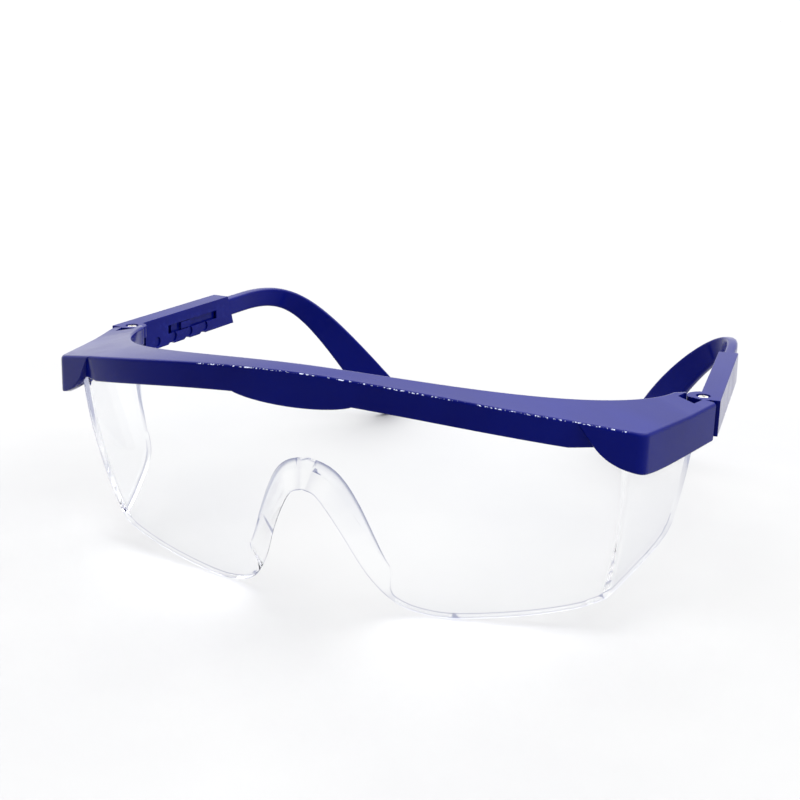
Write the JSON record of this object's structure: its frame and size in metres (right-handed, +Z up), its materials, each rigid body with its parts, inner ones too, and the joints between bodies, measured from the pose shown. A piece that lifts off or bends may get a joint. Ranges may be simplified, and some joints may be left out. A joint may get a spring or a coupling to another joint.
{
  "type": "safety glasses",
  "caption": "Wrap-round safety glasses: clear one-piece lens with side shields under a blue brow frame, on folding temples whose arms slide in and out.",
  "frame": {"origin": "on the table, midway between the outermost points left to right and front to back", "axes": "+X towards the side named right (the wearer's left), +Y from the front of the glasses to the ears, +Z up"},
  "size_m": [0.1564, 0.1626, 0.0587],
  "materials": {
    "blue_plastic": "gloss moulded, blue",
    "clear_polycarbonate": "clear, polished",
    "screw_steel": "bright"
  },
  "bodies": {
    "front": {"brow_frame": "blue_plastic", "lens": "clear_polycarbonate", "hinge_screw_left": "screw_steel", "hinge_screw_right": "screw_steel"},
    "housing_left": {"temple_housing_left": "blue_plastic"},
    "housing_right": {"temple_housing_right": "blue_plastic"},
    "arm_left": {"temple_arm_left": "blue_plastic"},
    "arm_right": {"temple_arm_right": "blue_plastic"}
  },
  "joints": [
    {"name": "hinge_right", "type": "hinge", "parent": "front", "child": "housing_right", "pos_m": [0.0739, -0.02158, 0.04383], "axis": [0, 0.0185, 0.9998], "range_deg": [0, 85]},
    {"name": "hinge_left", "type": "hinge", "parent": "front", "child": "housing_left", "pos_m": [-0.0739, -0.02158, 0.04383], "axis": [0, -0.0185, -0.9998], "range_deg": [0, 77]},
    {"name": "slide_right", "type": "slide", "parent": "housing_right", "child": "arm_right", "axis": [-0.0692, 0.9974, -0.0185], "range_m": [-0.006, 0.0125]},
    {"name": "slide_left", "type": "slide", "parent": "housing_left", "child": "arm_left", "axis": [0.0692, 0.9974, -0.0185], "range_m": [-0.006, 0.0125]}
  ]
}
